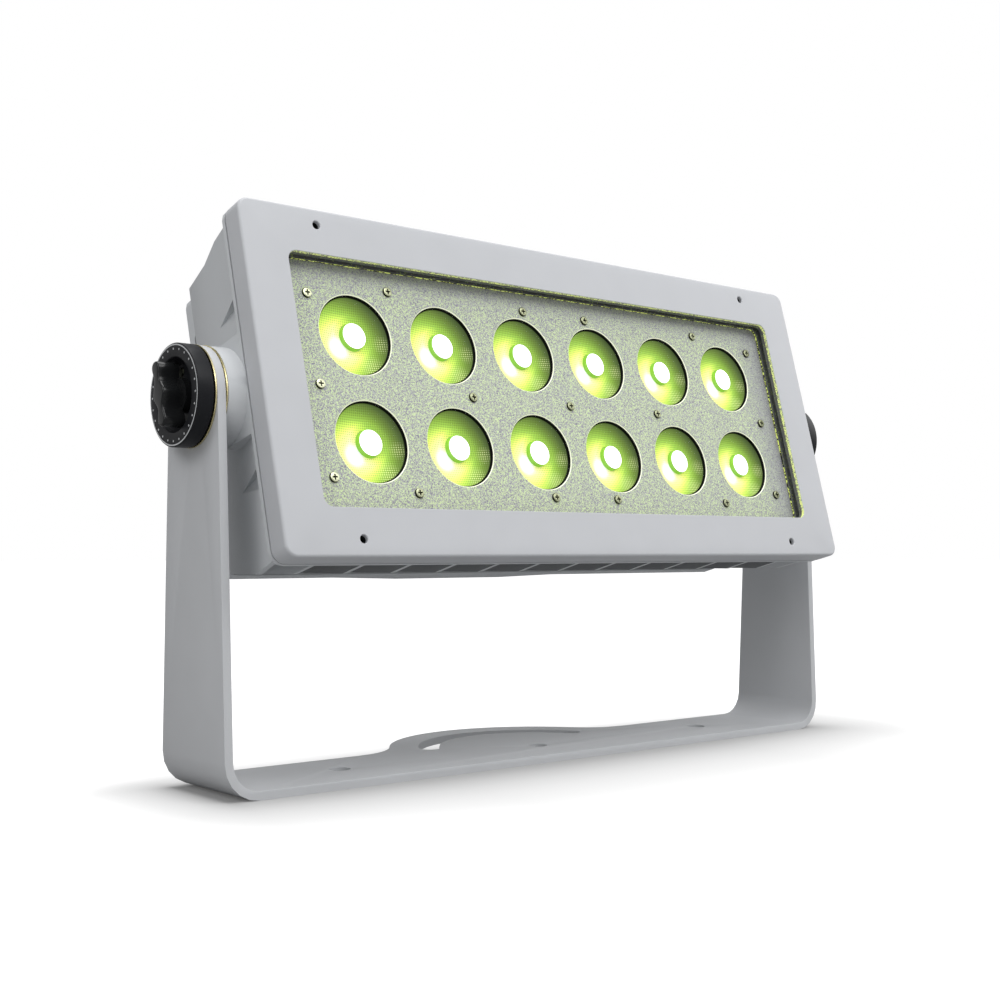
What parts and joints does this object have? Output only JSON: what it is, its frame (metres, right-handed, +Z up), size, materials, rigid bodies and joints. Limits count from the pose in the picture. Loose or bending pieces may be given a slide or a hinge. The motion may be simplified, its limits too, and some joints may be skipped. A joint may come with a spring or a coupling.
{
  "type": "led light panel",
  "caption": "Wide lamp head with two rows of round LED lights behind glass, tilting in a bent steel yoke with a dial and wing knob on each side.",
  "frame": {"origin": "on the floor plane, at the centre of the bounding box in X and Y; the tilt axis is 34.5 mm in front of it and 218 mm above it", "axes": "+X to the right of someone looking at the lamp's face, -Y the way the lamp faces (tilted 15 degrees up at rest), +Z up"},
  "size_m": [0.5432, 0.2051, 0.3275],
  "materials": {
    "bezel_paint": "satin light grey powder coat on cast alloy",
    "black_plastic": "glossy black moulding",
    "black_rubber": "matte",
    "brass": "stamped, dull",
    "circuit_board": "white solder mask on a metal core board",
    "clear_glass": "clear toughened glass",
    "coated_alloy": "satin grey powder coat on cast alloy",
    "coated_steel": "satin grey powder coat on steel",
    "dark_lens": "smoked, clear",
    "green_board": "green solder mask",
    "module_case": "bare sheet",
    "reflector_coat": "vacuum coated, seen under the lit emitters",
    "speckled_plate": "matte grey",
    "steel": "stainless"
  },
  "bodies": {
    "yoke": {"yoke_bracket": "coated_steel", "left_inner_shim": "brass", "left_outer_shim": "brass", "right_inner_shim": "brass", "right_outer_shim": "brass"},
    "head": {"aperture_plate": "speckled_plate", "bezel_screw_1": "steel", "bezel_screw_2": "steel", "bezel_screw_3": "steel", "bezel_screw_4": "steel", "control_board": "green_board", "data_inlet": "black_plastic", "data_outlet": "black_plastic", "display_window": "dark_lens", "driver_housing": "coated_alloy", "driver_housing_bolt_1": "steel", "driver_housing_bolt_2": "steel", "driver_housing_bolt_3": "steel", "driver_housing_bolt_4": "steel", "driver_module": "module_case", "flange_seal": "black_rubber", "front_bezel": "bezel_paint", "front_glass": "clear_glass", "glass_gasket": "black_rubber", "heat_sink_housing": "coated_alloy", "led_board": "circuit_board", "left_pivot_stud": "steel", "left_tilt_dial": "black_plastic", "power_inlet": "black_plastic", "power_outlet": "black_plastic", "rear_cover": "coated_alloy", "rear_cover_screw_1": "steel", "rear_cover_screw_2": "steel", "rear_cover_screw_3": "steel", "rear_cover_screw_4": "steel", "rear_gasket": "black_rubber", "reflector_01": "reflector_coat", "reflector_02": "reflector_coat", "reflector_03": "reflector_coat", "reflector_04": "reflector_coat", "reflector_05": "reflector_coat", "reflector_06": "reflector_coat", "reflector_07": "reflector_coat", "reflector_08": "reflector_coat", "reflector_09": "reflector_coat", "reflector_10": "reflector_coat", "reflector_11": "reflector_coat", "reflector_12": "reflector_coat", "right_pivot_stud": "steel", "right_tilt_dial": "black_plastic", "safety_eye": "steel", "vent_plug": "black_plastic"},
    "left_lock_knob": {"left_lock_knob": "black_plastic"},
    "right_lock_knob": {"right_lock_knob": "black_plastic"},
    "menu_button": {"menu_button": "black_plastic"},
    "up_button": {"up_button": "black_plastic"},
    "down_button": {"down_button": "black_plastic"},
    "enter_button": {"enter_button": "black_plastic"}
  },
  "joints": [
    {"name": "head_tilt", "type": "hinge", "parent": "yoke", "child": "head", "pos_m": [0, -0.03453, 0.218], "axis": [-1, 0, 0], "range_deg": [-105, 75]},
    {"name": "left_lock_turn", "type": "hinge", "parent": "head", "child": "left_lock_knob", "pos_m": [-0.2559, -0.03453, 0.218], "axis": [-1, 0, 0], "range_deg": [0, 360]},
    {"name": "right_lock_turn", "type": "hinge", "parent": "head", "child": "right_lock_knob", "pos_m": [0.2559, -0.03453, 0.218], "axis": [1, 0, 0], "range_deg": [0, 360]},
    {"name": "menu_press", "type": "slide", "parent": "head", "child": "menu_button", "axis": [0, -0.9659, 0.2588], "range_m": [0, 0.001], "stiffness_N_per_m": 800},
    {"name": "up_press", "type": "slide", "parent": "head", "child": "up_button", "axis": [0, -0.9659, 0.2588], "range_m": [0, 0.001], "stiffness_N_per_m": 800},
    {"name": "down_press", "type": "slide", "parent": "head", "child": "down_button", "axis": [0, -0.9659, 0.2588], "range_m": [0, 0.001], "stiffness_N_per_m": 800},
    {"name": "enter_press", "type": "slide", "parent": "head", "child": "enter_button", "axis": [0, -0.9659, 0.2588], "range_m": [0, 0.001], "stiffness_N_per_m": 800}
  ]
}
